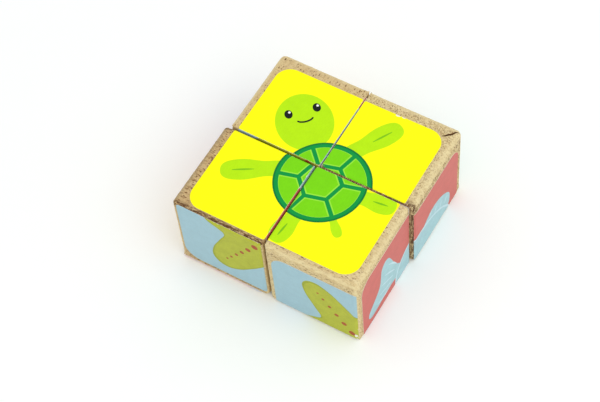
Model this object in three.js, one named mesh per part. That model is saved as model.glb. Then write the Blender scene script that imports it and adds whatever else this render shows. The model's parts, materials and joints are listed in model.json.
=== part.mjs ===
// Picture block puzzle: four loose wooden cubes standing two by two.
// Each cube has six thin printed labels glued on, and each label is one quarter of a picture,
// so turning the cubes and pushing them together makes any one of six pictures.
// Millimetres, +Z up. The origin is on the standing plane, under the middle of the set.
// +X runs along the front of the set, +Y runs from the front row to the back row.
import * as THREE from "three";
import { RoundedBoxGeometry } from "three/addons/geometries/RoundedBoxGeometry.js";

// Driving dimensions of a cube
const BLOCK_SIDE = 40; // bare wood, from face to face
const EDGE_RADIUS = 1.2; // sanded rounding along every edge
const EDGE_STEPS = 3; // facets round a quarter of that rounding

// Driving dimensions of a label
const PAPER_THICKNESS = 0.12;
const GLUE_LINE = 0.03; // between the wood and the paper
const FLUSH_MARGIN = 0.1; // label edge to cube side, on the two sides that meet the next cube
const LABEL_BORDER = 3.6; // bare wood beside a label on its two outer sides
const OUTER_CORNER_RADIUS = 6.5; // the one corner that is a corner of the whole picture
const SMALL_CORNER_RADIUS = 0.8; // the other three corners
const CORNER_STEPS = 5; // facets round each label corner

// Driving dimensions of the set
const BLOCK_CLEARANCE = 0.25; // between the labels of two neighbouring cubes
const ROW_SHIFT = 1.6; // the back row stands this much further along +X than the front row

// Sizes that follow from them
const LABEL_PROUD = GLUE_LINE + PAPER_THICKNESS;
const LABELLED_SIDE = BLOCK_SIDE + 2 * LABEL_PROUD;
const BLOCK_PITCH = LABELLED_SIDE + BLOCK_CLEARANCE;
const EVEN_BORDERS = [LABEL_BORDER, LABEL_BORDER];

const WOOD = { color: 0xd9c596, roughness: 0.75 };
const PICTURES = {
  turtle: { color: 0xffff00, roughness: 0.4 },
  starfish: { color: 0xa3c4cc, roughness: 0.4 },
  fish: { color: 0xcf6f66, roughness: 0.4 },
  crab: { color: 0xf3d9a0, roughness: 0.4 },
  jellyfish: { color: 0x2f5f9e, roughness: 0.4 },
  whale: { color: 0x9fd8b4, roughness: 0.4 },
};

// Each face of a cube: its outward direction, and the direction that is to the right
// and the one that is up for someone who looks straight at it.
const FACES = {
  top: { out: [0, 0, 1], right: [1, 0, 0], up: [0, 1, 0] },
  bottom: { out: [0, 0, -1], right: [1, 0, 0], up: [0, -1, 0] },
  front: { out: [0, -1, 0], right: [1, 0, 0], up: [0, 0, 1] },
  back: { out: [0, 1, 0], right: [-1, 0, 0], up: [0, 0, 1] },
  left: { out: [-1, 0, 0], right: [0, -1, 0], up: [0, 0, 1] },
  right: { out: [1, 0, 0], right: [0, 1, 0], up: [0, 0, 1] },
};

// The corner of a face that carries the outer corner of the picture, as right and up signs.
const TOP_LEFT = [-1, 1];
const TOP_RIGHT = [1, 1];
const BOTTOM_LEFT = [-1, -1];
const BOTTOM_RIGHT = [1, -1];

// Each cube: its place in the set, its small turn about its own middle in degrees, and its
// labels. The labels were laid by hand, so some have borders of their own: side, then end.
// One of them stops a little further from the next cube than the others do.
const BLOCKS = [
  {
    name: "front_left",
    column: -1,
    row: -1,
    turn: 0.2,
    labels: [
      { face: "top", picture: "turtle", corner: BOTTOM_LEFT, borders: [4.6, 2.2] },
      { face: "front", picture: "starfish", corner: BOTTOM_LEFT, borders: [2.6, 3.6] },
      { face: "left", picture: "crab", corner: TOP_RIGHT },
      { face: "back", picture: "whale", corner: TOP_RIGHT },
      { face: "right", picture: "fish", corner: BOTTOM_LEFT },
      { face: "bottom", picture: "jellyfish", corner: BOTTOM_RIGHT },
    ],
  },
  {
    name: "front_right",
    column: 1,
    row: -1,
    turn: 0.25,
    labels: [
      { face: "top", picture: "turtle", corner: BOTTOM_RIGHT, borders: [3.5, 3.1] },
      { face: "front", picture: "starfish", corner: TOP_LEFT, borders: [3.1, 5], sideMargin: 0.9 },
      { face: "right", picture: "fish", corner: TOP_LEFT, borders: [3.1, 4] },
      { face: "left", picture: "whale", corner: TOP_RIGHT },
      { face: "back", picture: "crab", corner: BOTTOM_RIGHT },
      { face: "bottom", picture: "jellyfish", corner: TOP_LEFT },
    ],
  },
  {
    name: "back_left",
    column: -1,
    row: 1,
    turn: 0,
    labels: [
      { face: "top", picture: "turtle", corner: TOP_LEFT, borders: [3.7, 5.4] },
      { face: "left", picture: "jellyfish", corner: TOP_LEFT },
      { face: "back", picture: "crab", corner: TOP_RIGHT },
      { face: "front", picture: "starfish", corner: BOTTOM_LEFT },
      { face: "right", picture: "fish", corner: BOTTOM_RIGHT },
      { face: "bottom", picture: "whale", corner: BOTTOM_LEFT },
    ],
  },
  {
    name: "back_right",
    column: 1,
    row: 1,
    turn: 0.35,
    labels: [
      { face: "top", picture: "turtle", corner: TOP_RIGHT, borders: [4, 5.5] },
      { face: "right", picture: "fish", corner: TOP_RIGHT, borders: [4, 5.6] },
      { face: "back", picture: "whale", corner: TOP_LEFT },
      { face: "front", picture: "jellyfish", corner: TOP_RIGHT },
      { face: "left", picture: "crab", corner: BOTTOM_LEFT },
      { face: "bottom", picture: "starfish", corner: TOP_RIGHT },
    ],
  },
];

// A direction given as three numbers, as a vector.
function asVector(numbers) {
  return new THREE.Vector3(...numbers);
}

// A mesh with a name, a finish and its faces shaded flat.
function namedMesh(name, geometry, finish) {
  const material = new THREE.MeshStandardMaterial({ ...finish, metalness: 0, flatShading: true });
  const mesh = new THREE.Mesh(geometry, material);
  mesh.name = name;
  return mesh;
}

// A solid cube of wood with every edge and corner rounded, centred on its own middle.
function woodenCube(name) {
  const geometry = new RoundedBoxGeometry(BLOCK_SIDE, BLOCK_SIDE, BLOCK_SIDE, EDGE_STEPS, EDGE_RADIUS);
  return namedMesh(`cube_${name}`, geometry, WOOD);
}

// The ends of a label along one direction of its face. The outer end leaves a border of bare
// wood, and the other end is flush with the side of the cube but for a small margin.
function labelSpan(sign, border, margin) {
  const outerEnd = BLOCK_SIDE / 2 - border;
  const flushEnd = BLOCK_SIDE / 2 - margin;
  return sign > 0 ? [-flushEnd, outerEnd] : [-outerEnd, flushEnd];
}

// A label's outline: a rectangle whose picture corner is rounded more than the other three.
function labelOutline(corner, borders, sideMargin) {
  const [left, right] = labelSpan(corner[0], borders[0], sideMargin);
  const [low, high] = labelSpan(corner[1], borders[1], FLUSH_MARGIN);
  const turns = [
    { x: right, y: low, signs: BOTTOM_RIGHT, start: -Math.PI / 2 },
    { x: right, y: high, signs: TOP_RIGHT, start: 0 },
    { x: left, y: high, signs: TOP_LEFT, start: Math.PI / 2 },
    { x: left, y: low, signs: BOTTOM_LEFT, start: Math.PI },
  ];
  const outline = new THREE.Shape();
  for (const { x, y, signs, start } of turns) {
    const radius = signs === corner ? OUTER_CORNER_RADIUS : SMALL_CORNER_RADIUS;
    const middleX = x - signs[0] * radius;
    const middleY = y - signs[1] * radius;
    outline.absarc(middleX, middleY, radius, start, start + Math.PI / 2, false);
  }
  return outline;
}

// A printed label lying on one face of a cube that is centred on the origin.
function printedLabel(blockName, label) {
  const { face, picture, corner, borders = EVEN_BORDERS, sideMargin = FLUSH_MARGIN } = label;
  const outline = labelOutline(corner, borders, sideMargin);
  const geometry = new THREE.ExtrudeGeometry(outline, {
    depth: PAPER_THICKNESS,
    bevelEnabled: false,
    curveSegments: CORNER_STEPS,
  });
  const sticker = namedMesh(`label_${blockName}_${picture}`, geometry, PICTURES[picture]);
  const [outward, rightward, upward] = [FACES[face].out, FACES[face].right, FACES[face].up].map(asVector);
  const basis = new THREE.Matrix4().makeBasis(rightward, upward, outward);
  sticker.quaternion.setFromRotationMatrix(basis);
  sticker.position.copy(outward).multiplyScalar(BLOCK_SIDE / 2 + GLUE_LINE);
  return sticker;
}

// One finished cube with its six labels, standing at its place in the set.
function pictureBlock({ name, column, row, turn, labels }) {
  const block = new THREE.Group();
  block.add(woodenCube(name));
  for (const label of labels) block.add(printedLabel(name, label));
  const shift = (row * ROW_SHIFT) / 2;
  block.position.set((column * BLOCK_PITCH) / 2 + shift, (row * BLOCK_PITCH) / 2, LABELLED_SIDE / 2);
  block.rotation.z = THREE.MathUtils.degToRad(turn);
  return block;
}

// Moves a group sideways so that the middle of its outline is over the origin.
function centreOverOrigin(group) {
  group.updateMatrixWorld(true);
  const middle = new THREE.Box3().setFromObject(group, true).getCenter(new THREE.Vector3());
  group.position.x -= middle.x;
  group.position.y -= middle.y;
}

const blockSet = new THREE.Group();
for (const block of BLOCKS) blockSet.add(pictureBlock(block));
centreOverOrigin(blockSet);

const puzzle = new THREE.Group();
puzzle.add(blockSet);

export default puzzle;
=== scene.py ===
"""Looks of a picture block puzzle: four wooden cubes, each with six printed paper labels.

Every label is one quarter of a picture. The pictures are drawn here as flat shapes in picture
units, where the middle of the picture is the origin and one unit is the side of a cube. Each
label is cut out of its picture, laid on its face and bent over the edges that it reaches.
"""
import json
import logging
import math
import random
from collections.abc import Callable, Iterable, Sequence
from dataclasses import dataclass, field
from enum import Enum
from functools import cache, reduce

import bmesh
import bpy
import numpy as np
from mathutils import Matrix, Vector, noise
from mathutils.geometry import delaunay_2d_cdt


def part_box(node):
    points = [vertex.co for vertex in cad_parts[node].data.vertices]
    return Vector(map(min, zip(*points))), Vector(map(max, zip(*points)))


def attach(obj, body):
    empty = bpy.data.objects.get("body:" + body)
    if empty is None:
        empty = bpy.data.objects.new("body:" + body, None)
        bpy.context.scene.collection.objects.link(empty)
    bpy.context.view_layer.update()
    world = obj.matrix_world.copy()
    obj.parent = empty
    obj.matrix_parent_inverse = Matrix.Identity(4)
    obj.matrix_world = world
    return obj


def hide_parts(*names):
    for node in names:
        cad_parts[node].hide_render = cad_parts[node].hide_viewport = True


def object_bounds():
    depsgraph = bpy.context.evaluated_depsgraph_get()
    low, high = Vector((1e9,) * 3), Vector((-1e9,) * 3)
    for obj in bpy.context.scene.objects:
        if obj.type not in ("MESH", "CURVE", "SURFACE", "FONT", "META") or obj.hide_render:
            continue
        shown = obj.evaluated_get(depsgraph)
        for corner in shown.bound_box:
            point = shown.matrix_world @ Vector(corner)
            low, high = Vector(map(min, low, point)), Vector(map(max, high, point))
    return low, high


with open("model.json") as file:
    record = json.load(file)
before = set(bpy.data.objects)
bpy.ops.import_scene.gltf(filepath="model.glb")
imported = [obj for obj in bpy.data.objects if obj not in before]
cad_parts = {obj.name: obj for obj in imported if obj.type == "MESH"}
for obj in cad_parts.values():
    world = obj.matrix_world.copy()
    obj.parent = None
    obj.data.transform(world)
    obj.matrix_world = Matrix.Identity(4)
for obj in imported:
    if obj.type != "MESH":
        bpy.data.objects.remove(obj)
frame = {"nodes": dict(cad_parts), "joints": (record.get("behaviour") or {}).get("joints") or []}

CAD_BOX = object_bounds()
MM = 0.001
log = logging.getLogger("picture_blocks")

Loop = np.ndarray  # points of a closed outline, one row each


# ---------------------------------------------------------------- flat shapes


def ellipse(centre: tuple[float, float], radii: tuple[float, float], power: float = 2.0,
            points: int = 48) -> Loop:
    """Draws an ellipse, or with a higher power a squarer one.

    Args:
        centre: Its middle.
        radii: Half its width and half its height.
        power: 2 for an ellipse, more for a shape nearer to a rectangle.
        points: How many points go round it.

    Returns:
        The closed outline.
    """
    t = np.linspace(0, 2 * math.pi, points, endpoint=False)
    x = radii[0] * np.sign(np.cos(t)) * np.abs(np.cos(t)) ** (2 / power)
    y = radii[1] * np.sign(np.sin(t)) * np.abs(np.sin(t)) ** (2 / power)
    return np.column_stack([centre[0] + x, centre[1] + y])


def spline(a: Loop, b: Loop, c: Loop, d: Loop, steps: int) -> np.ndarray:
    """Fills in the stretches from each b to its c of a curve that also runs by a and d.

    Args:
        a: The point before each stretch.
        b: The point where each stretch starts.
        c: The point where each stretch ends.
        d: The point after each stretch.
        steps: How many points each stretch gets.

    Returns:
        The points of all the stretches, one after the other.
    """
    t = np.linspace(0, 1, steps, endpoint=False)[:, None, None]
    curve = 2 * b + (c - a) * t + (2 * a - 5 * b + 4 * c - d) * t**2 + (3 * b - a - 3 * c + d) * t**3
    return (curve / 2).transpose(1, 0, 2).reshape(-1, 2)


def blob(points: Sequence[tuple[float, float]], steps: int = 7) -> Loop:
    """Draws a smooth closed outline through a few points."""
    p = np.asarray(points, float)
    return spline(np.roll(p, 1, 0), p, np.roll(p, -1, 0), np.roll(p, -2, 0), steps)


def path(points: Sequence[tuple[float, float]], steps: int = 9) -> np.ndarray:
    """Draws a smooth open line through a few points.

    Args:
        points: The points.
        steps: How many points each stretch between two of them gets.

    Returns:
        The points of the line.
    """
    p = np.asarray(points, float)
    p = np.vstack([2 * p[0] - p[1], p, 2 * p[-1] - p[-2]])
    return np.vstack([spline(p[:-3], p[1:-2], p[2:-1], p[3:], steps), p[-2]])


def stroke(points: Sequence[tuple[float, float]], width: float, blunt: float = 0.35) -> Loop:
    """Draws a brush stroke: a smooth line that is widest in the middle.

    Args:
        points: Points that the line runs through.
        width: Its greatest width.
        blunt: Width at the ends, as a share of the greatest.

    Returns:
        The closed outline of the stroke.
    """
    line = path(points)
    along = np.gradient(line, axis=0)
    across = np.column_stack([-along[:, 1], along[:, 0]]) / np.linalg.norm(along, axis=1)[:, None]
    share = np.sin(np.linspace(0, math.pi, len(line)))
    half = (width / 2 * (blunt + (1 - blunt) * share))[:, None] * across
    return np.vstack([line + half, (line - half)[::-1]])


def mirrored(loop: Loop) -> Loop:
    """The same outline on the other side of the picture's upright middle line."""
    return loop * np.array([-1.0, 1.0])


def refined(loop: Loop, longest: float) -> Loop:
    """Adds points along an outline, so that none of its straight stretches is longer than longest.

    Args:
        loop: The outline.
        longest: The longest stretch that may stay.

    Returns:
        The outline with more points.
    """
    rows = []
    for a, b in zip(loop, np.roll(loop, -1, 0)):
        pieces = max(1, math.ceil(float(np.linalg.norm(b - a)) / longest))
        rows += [a + (b - a) * k / pieces for k in range(pieces)]
    return np.array(rows)


def inside(points: np.ndarray, loop: Loop) -> np.ndarray:
    """Tells for each point whether it lies inside a closed outline.

    Args:
        points: The points, one row each.
        loop: The outline.

    Returns:
        True or False for each point.
    """
    x, y = points[:, :1], points[:, 1:]
    x1, y1 = loop.T
    x2, y2 = np.roll(loop, -1, 0).T
    crosses = (y1 > y) != (y2 > y)
    rise = np.where(y2 == y1, 1.0, y2 - y1)
    return ((x < x1 + (y - y1) / rise * (x2 - x1)) & crosses).sum(1) % 2 == 1


# ---------------------------------------------------------------- node trees


class NodeSheet:
    """A short way to add nodes to a tree and join them."""

    def __init__(self, tree: bpy.types.NodeTree) -> None:
        """Keeps the tree that the nodes go into."""
        self.tree = tree

    def add(self, kind: str, settings: dict | None = None, inputs: dict | None = None) -> bpy.types.Node:
        """Adds one node.

        Args:
            kind: The node's type name.
            settings: Its own properties by name.
            inputs: A value, or a socket to link from, for each input by name or place.

        Returns:
            The new node.
        """
        node = self.tree.nodes.new(kind)
        for name, value in (settings or {}).items():
            setattr(node, name, value)
        for name, value in (inputs or {}).items():
            if isinstance(value, bpy.types.NodeSocket):
                self.tree.links.new(value, node.inputs[name])
            else:
                node.inputs[name].default_value = value
        return node

    def math(self, operation: str, *values: float | bpy.types.NodeSocket) -> bpy.types.NodeSocket:
        """Adds a Math node on up to three values and returns its result."""
        node = self.add("ShaderNodeMath", {"operation": operation}, dict(enumerate(values)))
        return node.outputs[0]

    def weighted(self, *parts: tuple[bpy.types.NodeSocket, float]) -> bpy.types.NodeSocket:
        """Adds up values, each times its own weight, and returns the sum."""
        shares = [self.math("MULTIPLY", value, weight) for value, weight in parts]
        return reduce(lambda first, second: self.math("ADD", first, second), shares)

    def remap(self, value: bpy.types.NodeSocket, low: float, high: float,
              to_low: float = 0.0, to_high: float = 1.0) -> bpy.types.NodeSocket:
        """Stretches the range from low to high onto another, clamped, and returns the result."""
        places = {"Value": value, "From Min": low, "From Max": high, "To Min": to_low, "To Max": to_high}
        return self.add("ShaderNodeMapRange", {"clamp": True}, places).outputs["Result"]

    def noise(self, vector: bpy.types.NodeSocket, scale: float, detail: float = 3.0,
              roughness: float = 0.5) -> bpy.types.NodeSocket:
        """Adds a Noise Texture and returns its value."""
        places = {"Vector": vector, "Scale": scale, "Detail": detail, "Roughness": roughness}
        return self.add("ShaderNodeTexNoise", None, places).outputs[0]

    def mix(self, amount: float | bpy.types.NodeSocket, first: Sequence[float] | bpy.types.NodeSocket,
            second: Sequence[float] | bpy.types.NodeSocket, blend: str = "MIX") -> bpy.types.NodeSocket:
        """Mixes two colours and returns the result."""
        kinds = {"data_type": "RGBA", "blend_type": blend}
        return self.add("ShaderNodeMix", kinds, {0: amount, 6: first, 7: second}).outputs[2]

    def link(self, value: bpy.types.NodeSocket, target: bpy.types.NodeSocket) -> None:
        """Joins a result to an input."""
        self.tree.links.new(value, target)

    def emboss(self, shader: bpy.types.Node, height: bpy.types.NodeSocket, strength: float,
               depth: float) -> None:
        """Gives a shader a fine relief.

        Args:
            shader: The shader that shows the relief.
            height: The relief's height, from about 0 to 1.
            strength: How strongly it shows, from 0 to 1.
            depth: How deep a height of 1 is.
        """
        values = {"Strength": strength, "Distance": depth, "Height": height}
        self.link(self.add("ShaderNodeBump", None, values).outputs[0], shader.inputs["Normal"])


def linear(colour: Sequence[float]) -> tuple[float, float, float, float]:
    """Turns a screen colour, 0 to 255 a channel, into the linear colour that shaders take."""
    share = [c / 255 for c in colour]
    return (*(s / 12.92 if s <= 0.04045 else ((s + 0.055) / 1.055) ** 2.4 for s in share), 1.0)


def new_material(name: str) -> tuple[bpy.types.Material, NodeSheet, bpy.types.Node]:
    """Starts a material.

    Args:
        name: The material's name.

    Returns:
        The material, its node sheet and its Principled shader.
    """
    material = bpy.data.materials.new(name)
    material.use_nodes = True
    sheet = NodeSheet(material.node_tree)
    return material, sheet, material.node_tree.nodes["Principled BSDF"]


def millimetres(sheet: NodeSheet, offset: Sequence[float] = (0, 0, 0),
                stretch: Sequence[float] = (1, 1, 1)) -> bpy.types.NodeSocket:
    """Adds object coordinates counted in millimetres.

    Args:
        sheet: Where the nodes go.
        offset: A shift in millimetres, which gives each piece its own stretch of the pattern.
        stretch: A scale for each axis, below 1 to draw the pattern out along it.

    Returns:
        The vector socket.
    """
    where = sheet.add("ShaderNodeTexCoord").outputs["Object"]
    places = {"Vector": where, "Location": offset, "Scale": [s / MM for s in stretch]}
    return sheet.add("ShaderNodeMapping", None, places).outputs["Vector"]


# ---------------------------------------------------------------- finishes


@dataclass(frozen=True)
class Ink:
    """A flat area of printed colour on label paper, a little uneven as print is."""

    name: str
    colour: tuple[int, int, int]
    mottle: float = 0.06
    roughness: float = 0.5
    bare: tuple[int, int, int] = (246, 243, 232)
    brush_offset: tuple[float, float, float] = (7, 3, 1)
    brush_stretch: tuple[float, float, float] = (1.0, 0.45, 1.0)

    def material(self) -> bpy.types.Material:
        """Makes the ink's material.

        Returns:
            The material.
        """
        material, sheet, shader = new_material(f"ink_{self.name}")
        where = millimetres(sheet)
        along = millimetres(sheet, self.brush_offset, self.brush_stretch)
        cloud = sheet.noise(where, scale=0.22, detail=4.0, roughness=0.6)
        brush = sheet.noise(along, scale=1.6, detail=3.0, roughness=0.6)
        speck = sheet.noise(where, scale=9.0, detail=2.0, roughness=0.6)
        uneven = sheet.weighted((cloud, 0.5), (brush, 0.5))
        tone = sheet.remap(uneven, 0.36, 0.64, 1 - self.mottle, 1 + 0.6 * self.mottle)
        grey = sheet.add("ShaderNodeCombineColor", None, {0: tone, 1: tone, 2: tone}).outputs[0]
        colour = sheet.mix(1.0, linear(self.colour), grey, "MULTIPLY")
        worn = sheet.math("MULTIPLY", sheet.remap(speck, 0.74, 0.8), 0.35)
        sheet.link(sheet.mix(worn, colour, linear(self.bare)), shader.inputs["Base Color"])
        shader.inputs["Roughness"].default_value = self.roughness
        shader.inputs["Specular IOR Level"].default_value = 0.15
        sheet.emboss(shader, sheet.weighted((speck, 0.4), (cloud, 1.0)), 0.12, 0.05 * MM)
        return material


class Palette(Enum):
    """Every ink that the six pictures use, and the bare paper."""

    SUN = Ink("sun_yellow", (255, 252, 0), 0.015)
    LIME = Ink("lime", (184, 236, 6), 0.05)
    MOSS = Ink("moss_crease", (128, 196, 20), 0.1)
    SHELL = Ink("shell_green", (0, 150, 66), 0.06)
    SHELL_EDGE = Ink("shell_edge_green", (0, 122, 56), 0.06)
    LEAF = Ink("leaf_green", (122, 216, 8), 0.06)
    LEAF_RIM = Ink("leaf_rim", (152, 232, 60), 0.04)
    WHITE = Ink("white", (252, 252, 250), 0.01)
    BLACK = Ink("black", (18, 26, 22), 0.1)
    SKY = Ink("pale_sky", (163, 197, 208), 0.06)
    OLIVE = Ink("starfish_olive", (181, 187, 58), 0.12)
    OLIVE_DARK = Ink("starfish_shade", (160, 168, 48), 0.12)
    RUST = Ink("rust_brown", (172, 84, 44), 0.15)
    CORAL = Ink("coral_red", (206, 110, 102), 0.08)
    ICE = Ink("ice_blue", (166, 206, 212), 0.1)
    ICE_LIGHT = Ink("ice_light", (196, 224, 232), 0.08)
    SAND = Ink("sand", (244, 214, 150), 0.06)
    CRAB = Ink("crab_orange", (226, 104, 52), 0.08)
    CRAB_DARK = Ink("crab_shade", (188, 74, 40), 0.08)
    DEEP = Ink("deep_blue", (48, 96, 158), 0.08)
    CRIMSON = Ink("jelly_crimson", (206, 62, 78), 0.08)
    PINK = Ink("jelly_pink", (240, 168, 186), 0.06)
    MINT = Ink("mint", (160, 216, 184), 0.06)
    SLATE = Ink("whale_slate", (74, 112, 138), 0.08)
    PAPER = Ink("paper_core", (240, 236, 224), 0.05, 0.8)


@cache
def ink_material(ink: Ink) -> bpy.types.Material:
    """The material of an ink, made once."""
    return ink.material()


class Grain(Enum):
    """The way the wood's fibres run in a cube, as a unit vector along them."""

    ALONG_X = (1, 0, 0)
    ALONG_Y = (0, 1, 0)
    ALONG_Z = (0, 0, 1)

    def stretch(self, share: float) -> tuple[float, ...]:
        """A scale for each axis that draws a pattern out along the fibres to 1 / share its length."""
        return tuple(share if along else 1.0 for along in self.value)


@dataclass(frozen=True)
class BareWood:
    """Sanded, unvarnished hardwood with open pores, a painted highlight along its rounded edges, and some
    edges darkened: stained on some, painted shade on others.
    """

    name: str
    grain: Grain
    pale: tuple[int, int, int] = (236, 220, 172)
    deep: tuple[int, int, int] = (198, 170, 116)
    pore: tuple[int, int, int] = (124, 84, 48)
    # Colour of the painted highlight along the rounded edges
    rubbed: tuple[int, int, int] = (230, 214, 164)
    pore_share: float = 0.45
    # Colour of the darkened edges: staining on some, painted shade beside the gaps on others
    stain: tuple[int, int, int] = (92, 56, 28)
    speckle: float = 0.42
    fleck_density: float = 0.35
    fleck_seed: int = 1
    offset: tuple[float, float, float] = (0, 0, 0)

    def material(self) -> bpy.types.Material:
        """Makes the wood's material: fibres, rays, pores, a painted highlight along the rounded edges, and
        the piece's darkened edges, stained on some and painted shade on others.

        Returns:
            The material.
        """
        material, sheet, shader = new_material(f"wood_{self.name}")
        plain, drawn, rays, streaks = (
            millimetres(sheet, self.offset, self.grain.stretch(share)) for share in (1.0, 0.1, 0.35, 0.25)
        )
        fibre = sheet.noise(drawn, scale=2.6, detail=5.0, roughness=0.75)
        ray = sheet.noise(rays, scale=1.3, detail=3.0, roughness=0.65)
        band = sheet.noise(drawn, scale=0.5, detail=2.0, roughness=0.5)
        grit = sheet.noise(plain, scale=1.5, detail=4.0, roughness=0.8)
        streak = sheet.noise(streaks, scale=1.9, detail=3.0, roughness=0.7)
        tone = sheet.weighted((fibre, 0.45), (ray, 0.3), (band, 0.25))
        base = sheet.mix(sheet.remap(tone, 0.36, 0.62), linear(self.pale), linear(self.deep))
        grained = sheet.mix(sheet.remap(grit, 0.5, 0.6, 0.0, self.speckle), base, linear(self.pore))
        pores = self.pore_mask(sheet, rays, plain)
        dark = sheet.mix(sheet.math("MULTIPLY", pores, 0.7), grained, linear(self.pore))
        rubbed, stain = (
            sheet.add("ShaderNodeAttribute", {"attribute_name": name}).outputs["Fac"]
            for name in ("rubbed", "stain")
        )
        # Painted highlight: paler wood along the ridges of the rounded edges, broken up by the rays
        highlight_share = sheet.math("MULTIPLY", rubbed, sheet.remap(ray, 0.35, 0.6, 0.95, 0.35))
        edge = sheet.mix(highlight_share, dark, linear(self.rubbed))
        # Darker, patchy edges: staining on some, painted shade beside the gaps on others
        patchy = sheet.math("MULTIPLY", stain, sheet.remap(streak, 0.43, 0.52, 0.05, 1.0))
        sheet.link(sheet.mix(patchy, edge, linear(self.stain)), shader.inputs["Base Color"])
        sheet.link(sheet.remap(fibre, 0.3, 0.7, 0.62, 0.8), shader.inputs["Roughness"])
        shader.inputs["Specular IOR Level"].default_value = 0.25
        sheet.emboss(shader, sheet.weighted((fibre, 0.7), (pores, -0.8), (patchy, -1.0)), 0.6, 0.15 * MM)
        return material

    def pore_mask(self, sheet: NodeSheet, drawn: bpy.types.NodeSocket,
                  plain: bpy.types.NodeSocket) -> bpy.types.NodeSocket:
        """Adds short dark pores along the fibres, which crowd together in patches.

        Args:
            sheet: Where the nodes go.
            drawn: Coordinates drawn out along the fibres.
            plain: Coordinates that aren't drawn out.

        Returns:
            A value of 1 in the middle of a pore and 0 outside.
        """
        values = {"Vector": drawn, "Scale": 1.5, "Randomness": 1.0}
        cells = sheet.add("ShaderNodeTexVoronoi", None, values)
        near = sheet.remap(cells.outputs["Distance"], 0.2, 0.36, 1.0, 0.0)
        pick = sheet.add("ShaderNodeSeparateColor", None, {0: cells.outputs["Color"]}).outputs[0]
        crowd = sheet.remap(sheet.noise(plain, scale=0.3, detail=2.0), 0.35, 0.65, -0.25, 0.3)
        kept = sheet.math("LESS_THAN", pick, sheet.math("ADD", crowd, self.pore_share))
        return sheet.math("MULTIPLY", near, kept)


@dataclass(frozen=True)
class PoreAndCrackShade:
    """Dark brown for the open pores in the wood, and painted shade on the walls of a dent or a crack."""

    name: str = "open_pore"
    light: tuple[int, int, int] = (138, 98, 60)
    dark: tuple[int, int, int] = (84, 52, 28)

    def material(self) -> bpy.types.Material:
        """Makes the material: brown that varies along the pore, rough and a little uneven.

        Returns:
            The material.
        """
        material, sheet, shader = new_material(self.name)
        where = millimetres(sheet)
        patch = sheet.noise(where, scale=0.8, detail=3.0, roughness=0.6)
        fine = sheet.noise(where, scale=8.0, detail=2.0, roughness=0.6)
        tone = sheet.remap(sheet.weighted((patch, 1.0), (fine, 0.4)), 0.5, 0.9)
        colour = sheet.mix(tone, linear(self.light), linear(self.dark))
        sheet.link(colour, shader.inputs["Base Color"])
        shader.inputs["Roughness"].default_value = 0.9
        shader.inputs["Specular IOR Level"].default_value = 0.1
        sheet.emboss(shader, fine, 0.3, 0.05 * MM)
        return material


@cache
def pore_and_crack_shade_material() -> bpy.types.Material:
    """The material of the pores, and the painted shade inside cracks, made once."""
    return PoreAndCrackShade().material()


# ---------------------------------------------------------------- pictures


Artwork = list[tuple[Palette, Loop]]
DOT_SHRINK = 0.82  # each dot of a row beside the one before
WHOLE = np.array([(-1.2, -1.2), (1.2, -1.2), (1.2, 1.2), (-1.2, 1.2)])


def placed(loop: Iterable, origin: tuple[float, float], angle: float) -> Loop:
    """Turns an outline by an angle in degrees about its own origin, then puts that at origin."""
    c, s = math.cos(math.radians(angle)), math.sin(math.radians(angle))
    return np.asarray(loop, float) @ np.array([(c, s), (-s, c)]) + np.array(origin)


def polar(points: Iterable[tuple[float, float]]) -> list[tuple[float, float]]:
    """Turns pairs of a distance and an angle in degrees into points."""
    return [(r * math.cos(math.radians(t)), r * math.sin(math.radians(t))) for r, t in points]


def both_sides(loop: Loop) -> list[Loop]:
    """An outline and its mirror image on the other side of its own first axis."""
    return [loop, loop * np.array([1.0, -1.0])]


def dots(ink: Palette, places: Iterable[tuple[float, float]], size: float) -> Artwork:
    """A row of round dots, each a little smaller than the one before."""
    radii = ((place, size * DOT_SHRINK**k) for k, place in enumerate(places))
    return [(ink, ellipse(place, (radius, radius), points=14)) for place, radius in radii]


def plain_face(centre: tuple[float, float], size: float, tilt: float = 0.0) -> Artwork:
    """Two small dot eyes, each with a glint, and a short smile under them.

    Args:
        centre: The point between the eyes.
        size: The eyes' distance apart.
        tilt: Turn of the face in degrees.

    Returns:
        The shapes of the face.
    """
    shapes: Artwork = []
    for side in (-0.5, 0.5):
        shapes.append((Palette.BLACK, ellipse((side, 0), (0.14, 0.18), points=28)))
        shapes.append((Palette.WHITE, ellipse((side + 0.05, 0.07), (0.045, 0.045), points=12)))
    smile = [(0.3 * math.sin(t), -0.3 - 0.16 * math.cos(t)) for t in np.linspace(-1.2, 1.2, 7)]
    shapes.append((Palette.BLACK, stroke(smile, 0.07, 0.8)))
    return [(ink, placed(size * loop, centre, tilt)) for ink, loop in shapes]


def paddle(length: float, width: float) -> Loop:
    """A straight limb from the origin along +x: narrow at its root, round at its end.

    Args:
        length: About how far it reaches.
        width: About its greatest width.

    Returns:
        The closed outline.
    """
    upper = [(0.0, 0.3), (0.3, 0.36), (0.6, 0.48), (0.85, 0.42), (0.97, 0.2)]
    lower = [(x, -y) for x, y in reversed(upper)]
    return blob([(x * length, y * width) for x, y in upper + lower])


def shell_plates() -> list[Loop]:
    """The plates of a round shell of radius 1: a six-sided one and a ring of six round it.

    Returns:
        The seven outlines.
    """
    plates = [np.array(polar([(0.42, 60 * k) for k in range(6)]))]
    for k in range(6):
        inner = [(0.5, 60 * k + 5), (0.5, 60 * k + 55)]
        outer = [(0.88, 60 * k + t) for t in range(57, 2, -6)]
        plates.append(np.array(polar(inner + outer)))
    return plates


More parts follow.
